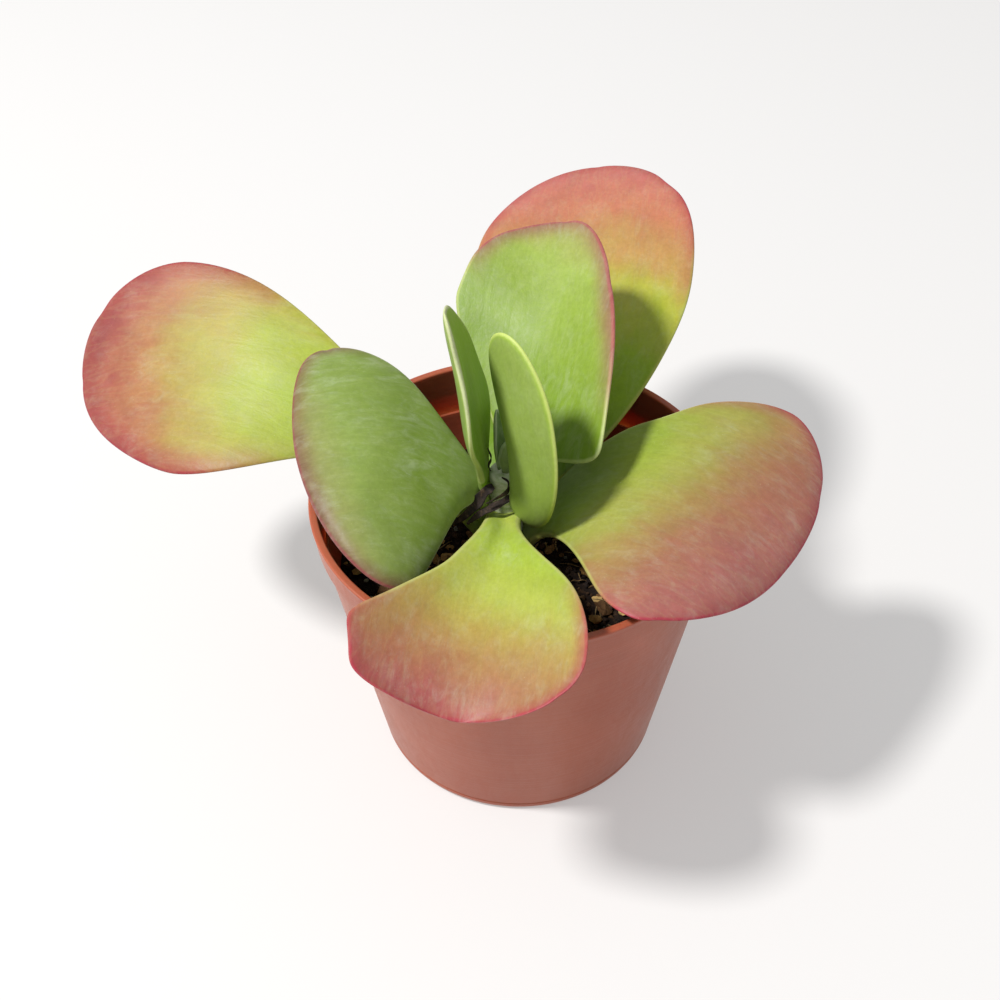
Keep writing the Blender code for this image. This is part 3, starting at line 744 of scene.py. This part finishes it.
def build_pot():
    """Nursery pot with its drainage holes cut through the raised floor."""
    profile = pot_profile()
    turn = np.linspace(0, 2 * np.pi, POT_SIDES, endpoint=False)
    vertices = [(r * math.cos(a), r * math.sin(a), z) for r, z in profile for a in turn]
    faces = capped_faces(len(profile), POT_SIDES)
    pot = add_mesh("pot_body", vertices, faces, pot_material())
    cutter_points = []
    cutter_faces = []
    ring = 0.5 * (PAD_RADIUS + BASE_RADIUS - FOOT_WIDTH)
    for i in range(DRAIN_HOLES):
        angle = 2 * math.pi * (i + 0.5) / DRAIN_HOLES
        first = len(cutter_points)
        for z in (-5 * MM, 12 * MM):
            for a in np.linspace(0, 2 * np.pi, HOLE_SIDES, endpoint=False):
                cutter_points.append((ring * math.cos(angle) + DRAIN_RADIUS * math.cos(a),
                                      ring * math.sin(angle) + DRAIN_RADIUS * math.sin(a), z))
        cutter_faces += [tuple(first + k for k in f) for f in capped_faces(2, HOLE_SIDES)]
    cutter = add_mesh("hole_cutter", cutter_points, cutter_faces, pot.data.materials[0])
    cut = pot.modifiers.new("drain_holes", "BOOLEAN")
    cut.operation = "DIFFERENCE"
    cut.object = cutter
    bpy.context.view_layer.update()
    graph = bpy.context.evaluated_depsgraph_get()
    finished = bpy.data.meshes.new_from_object(pot.evaluated_get(graph))
    pot.modifiers.clear()
    pot.data = finished
    pot.data.shade_smooth()
    pot.data.set_sharp_from_angle(angle=math.radians(35))
    bpy.data.objects.remove(cutter)
    show(pot, "terracotta_plastic", "pot")


# ---------------------------------------------------------------- soil

SOIL_GAP = 0.3 * MM
SOIL_RADIUS = wall_radius(SOIL_TOP) - WALL - SOIL_GAP


def soil_height(x, y):
    """Lumpy surface of the soil: a mound round the stem, broad lumps and fine crumbs."""
    from_stem = math.hypot(x - STEM_X, y - STEM_Y)
    mound = 3 * MM * math.exp(-(from_stem / (18 * MM)) ** 2)
    broad = noise.noise(Vector((x * 90, y * 90, 1.7))) * 1.3 * MM
    fine = noise.noise(Vector((x * 420, y * 420, 5.1))) * 0.8 * MM
    crumbs = noise.noise(Vector((x * 1400, y * 1400, 9.3))) * 0.35 * MM
    return SOIL_TOP + mound + broad + fine + crumbs - 0.4 * MM


def soil_material():
    """Moist peat, nearly black, with brown and ochre fibres."""
    g = Graph("potting_soil", 0.9, 0.25)
    place = g.position()
    coarse = g.noise(place, 420.0, 6.0, 0.7, 0.4)
    fine = g.noise(place, 1900.0, 4.0, 0.7)
    colour = g.ramp(coarse, [(0.3, tone(22, 16, 14)), (0.52, tone(48, 34, 26)), (0.68, tone(92, 66, 44)),
                             (0.8, tone(140, 108, 70))])
    colour = g.mix(g.ease(fine, 0.62, 0.75, 0.0, 0.6), colour, tone(150, 124, 86))
    return g.finish(colour, normal=g.bump(fine, 0.0008))


def build_soil():
    """Root ball and potting soil, up to the wall all round."""
    rings = 74
    sides = 220
    turn = np.linspace(0, 2 * np.pi, sides, endpoint=False)
    vertices = [(STEM_X, STEM_Y, SOIL_TOP)]
    for i in range(1, rings + 1):
        share = i / rings
        for a in turn:
            x = STEM_X * (1 - share) + SOIL_RADIUS * share * math.cos(a)
            y = STEM_Y * (1 - share) + SOIL_RADIUS * share * math.sin(a)
            vertices.append((x, y, soil_height(x, y)))
    for z in (SOIL_TOP - 4 * MM, 7.2 * MM):
        radius = wall_radius(z) - WALL - SOIL_GAP
        vertices += [(radius * math.cos(a), radius * math.sin(a), z) for a in turn]
    bottom = FLOOR_TOP + SOIL_GAP
    corner = wall_radius(bottom) - WALL - SOIL_GAP - 2 * MM
    vertices += [(corner * math.cos(a), corner * math.sin(a), bottom) for a in turn]
    faces = [(0, 1 + j, 1 + (j + 1) % sides) for j in range(sides)]
    faces += [tuple(1 + k for k in f) for f in ring_faces(rings + 3, sides)]
    last = 1 + (rings + 2) * sides
    faces.append(tuple(range(last, last + sides))[::-1])
    show(add_mesh("soil_bed", vertices, faces, soil_material()), "potting_soil", "soil")


def ico_points():
    """Vertices and faces of a ball with 42 points."""
    golden = (1 + math.sqrt(5)) / 2
    corners = [(-1, golden, 0), (1, golden, 0), (-1, -golden, 0), (1, -golden, 0), (0, -1, golden),
               (0, 1, golden), (0, -1, -golden), (0, 1, -golden), (golden, 0, -1), (golden, 0, 1),
               (-golden, 0, -1), (-golden, 0, 1)]
    sides = [(0, 11, 5), (0, 5, 1), (0, 1, 7), (0, 7, 10), (0, 10, 11), (1, 5, 9), (5, 11, 4),
             (11, 10, 2), (10, 7, 6), (7, 1, 8), (3, 9, 4), (3, 4, 2), (3, 2, 6), (3, 6, 8),
             (3, 8, 9), (4, 9, 5), (2, 4, 11), (6, 2, 10), (8, 6, 7), (9, 8, 1)]
    points = [Vector(c).normalized() for c in corners]
    halves = {}
    faces = []

    def halfway(a, b):
        key = (min(a, b), max(a, b))
        if key not in halves:
            points.append(((points[a] + points[b]) / 2).normalized())
            halves[key] = len(points) - 1
        return halves[key]

    for a, b, c in sides:
        ab, bc, ca = halfway(a, b), halfway(b, c), halfway(c, a)
        faces += [(a, ab, ca), (b, bc, ab), (c, ca, bc), (ab, bc, ca)]
    return np.array(points), faces


def turned_about(angles):
    """Rotation matrix from three angles."""
    a, b, c = angles
    about_z = np.array([[math.cos(a), -math.sin(a), 0], [math.sin(a), math.cos(a), 0], [0, 0, 1]])
    about_x = np.array([[1, 0, 0], [0, math.cos(b), -math.sin(b)], [0, math.sin(b), math.cos(b)]])
    about_y = np.array([[math.cos(c), 0, math.sin(c)], [0, 1, 0], [-math.sin(c), 0, math.cos(c)]])
    return about_z @ about_x @ about_y


def scatter(name, count, sizes, flatness, roughness, material, sink=0.25, tilt=0.5):
    """Broken bits lying on the soil, each with a tone of its own between 0 and 1."""
    ball, ball_faces = ico_points()
    vertices = []
    faces = []
    tones = []
    for _ in range(count):
        angle = rng.uniform(0, 2 * math.pi)
        size = sizes[0] * (sizes[1] / sizes[0]) ** rng.random() ** 1.6 * MM
        reach = (SOIL_RADIUS - size * 0.7) * math.sqrt(rng.random())
        x = reach * math.cos(angle)
        y = reach * math.sin(angle)
        if math.hypot(x - STEM_X, y - STEM_Y) < 5.5 * MM:
            continue
        lumps = 1 + roughness * rng.normal(size=(len(ball), 1))
        stretch = np.array([1, rng.uniform(0.5, 0.9), rng.uniform(*flatness)]) * 0.5 * size
        spin = turned_about((rng.uniform(0, 2 * math.pi), rng.normal() * tilt, rng.normal() * tilt))
        bit = (ball * lumps * stretch) @ spin.T
        bit = bit + np.array([x, y, soil_height(x, y) + size * sink * stretch[2] / (0.5 * size)])
        wall = np.hypot(bit[:, 0], bit[:, 1])
        bit[:, :2] *= np.minimum(1, SOIL_RADIUS / np.maximum(wall, 1e-9))[:, None]
        first = len(vertices) * len(ball)
        vertices.append(bit)
        faces += [(first + a, first + b, first + c) for a, b, c in ball_faces]
        tones += [rng.random()] * len(ball)
    piece = add_mesh(name, np.concatenate(vertices), faces, material, smooth=False)
    add_attribute(piece, "tone", tones)
    return show(piece, "potting_soil")


def bit_material(name, stops, roughness=0.85):
    """Crumbs whose colour follows each one's own tone, with a fine grain."""
    g = Graph(name, roughness, 0.3)
    place = g.position()
    grain = g.noise(place, 1500.0, 4.0, 0.7)
    value = g.math("ADD", g.attribute("tone"), g.math("MULTIPLY", g.math("SUBTRACT", grain, 0.5), 0.5))
    colour = g.ramp(value, [(p, tone(*c)) for p, c in stops])
    return g.finish(colour, normal=g.bump(grain, 0.0005))


def build_bits():
    """Peat crumbs, bark chips, perlite and short fibres on the soil."""
    peat = bit_material("peat_crumbs", [(0.0, (20, 15, 13)), (0.55, (46, 32, 25)),
                                        (0.85, (84, 60, 42)), (1.0, (120, 92, 62))])
    scatter("soil_crumbs", 1900, (0.7, 2.6), (0.5, 0.9), 0.16, peat)
    bark = bit_material("bark_chips", [(0.0, (58, 40, 26)), (0.35, (124, 88, 52)),
                                       (0.7, (190, 146, 84)), (1.0, (226, 190, 122))])
    scatter("soil_bark", 560, (1.6, 6.0), (0.2, 0.45), 0.14, bark, sink=0.5, tilt=0.35)
    grit = bit_material("grey_grit", [(0.0, (104, 108, 96)), (0.6, (150, 152, 138)),
                                      (1.0, (214, 210, 198))])
    scatter("soil_grit", 110, (0.8, 2.4), (0.6, 0.9), 0.12, grit, sink=0.5)
    build_fibres()


def build_fibres():
    """Short coir fibres, bent at random."""
    straw = bit_material("coir_fibre", [(0.0, (120, 90, 52)), (1.0, (206, 178, 124))])
    vertices = []
    faces = []
    tones = []
    for _ in range(170):
        angle = rng.uniform(0, 2 * math.pi)
        reach = (SOIL_RADIUS - 5 * MM) * math.sqrt(rng.random())
        heading = rng.uniform(0, 2 * math.pi)
        veer = rng.normal() * 0.9
        length = rng.uniform(3, 9) * MM
        points = []
        x = reach * math.cos(angle)
        y = reach * math.sin(angle)
        for i in range(6):
            lift = (0.5 + 0.9 * math.sin(math.pi * i / 5)) * MM
            points.append((x, y, soil_height(x, y) + lift))
            x += length / 5 * math.cos(heading)
            y += length / 5 * math.sin(heading)
            heading += veer / 5
        if max(math.hypot(p[0], p[1]) for p in points) > SOIL_RADIUS - 0.5 * MM:
            continue
        route = smooth_route(points, 12)
        made, made_faces = ribbon(route, rng.uniform(0.25, 0.6) * MM, 0.22 * MM, (0, 1), 0.0, 6)
        first = len(vertices)
        vertices += made
        faces += [tuple(first + k for k in f) for f in made_faces]
        tones += [rng.random()] * len(made)
    piece = add_mesh("soil_fibres", vertices, faces, straw)
    add_attribute(piece, "tone", tones)
    show(piece, "potting_soil")


# ---------------------------------------------------------------- stage, light and camera

FLOOR_HALF = 3.0                        # metres
KEY_PLACE = (-0.947, -0.3, 1.68)
KEY_AIM = (0.592, 0.2, -1)
KEY_SIZE = 0.28
KEY_WATTS = 41
CAMERA_PLACE = (0.0, -0.3136, 0.3892)
CAMERA_HEADING = 0.95                   # degrees to the left of straight ahead
CAMERA_DOWN = 43.63                     # degrees below level
CAMERA_ROLL = -0.7


def build_stage():
    """Pale seamless floor, soft key light from the left and an even fill."""
    g = Graph("paper", 0.95, 0.05)
    g.shader.inputs["Emission Color"].default_value = (0.985, 0.98, 0.98, 1.0)
    g.shader.inputs["Emission Strength"].default_value = 0.34
    paper = g.finish((0.47, 0.465, 0.46, 1.0))
    half = FLOOR_HALF
    corners = [(-half, -half, 0), (half, -half, 0), (half, half, 0), (-half, half, 0)]
    floor = add_mesh("floor", corners, [(0, 1, 2, 3)], paper, smooth=False)
    floor.location.z = -0.2 * MM

    key = bpy.data.lights.new("key", "AREA")
    key.shape = "DISK"
    key.size = KEY_SIZE
    key.energy = KEY_WATTS
    key.color = (1.0, 0.985, 0.965)
    lamp = bpy.data.objects.new("key", key)
    lamp.location = KEY_PLACE
    lamp.rotation_euler = Vector(KEY_AIM).to_track_quat("-Z", "Y").to_euler()
    bpy.context.scene.collection.objects.link(lamp)

    world = bpy.data.worlds.new("fill")
    world.use_nodes = True
    sky = world.node_tree.nodes["Background"]
    sky.inputs["Color"].default_value = (0.985, 0.99, 1.0, 1.0)
    sky.inputs["Strength"].default_value = 0.5
    bpy.context.scene.world = world
    bpy.context.scene.view_settings.view_transform = "Standard"


def build_camera():
    """Camera in front of the plant, looking down on it."""
    lens = bpy.data.cameras.new("camera")
    lens.lens = 54
    lens.sensor_width = 36
    lens.clip_start = 0.01
    camera = bpy.data.objects.new("camera", lens)
    bpy.context.scene.collection.objects.link(camera)
    place = Matrix.Translation(CAMERA_PLACE)
    heading = Matrix.Rotation(math.radians(CAMERA_HEADING), 4, "Z")
    pitch = Matrix.Rotation(math.radians(90 - CAMERA_DOWN), 4, "X")
    roll = Matrix.Rotation(math.radians(CAMERA_ROLL), 4, "Z")
    camera.matrix_world = place @ heading @ pitch @ roll
    bpy.context.scene.camera = camera


build_camera()
build_stage()
build_pot()
build_soil()
build_bits()
build_stem()
build_leaves()
build_withered()


bpy.context.view_layer.update()
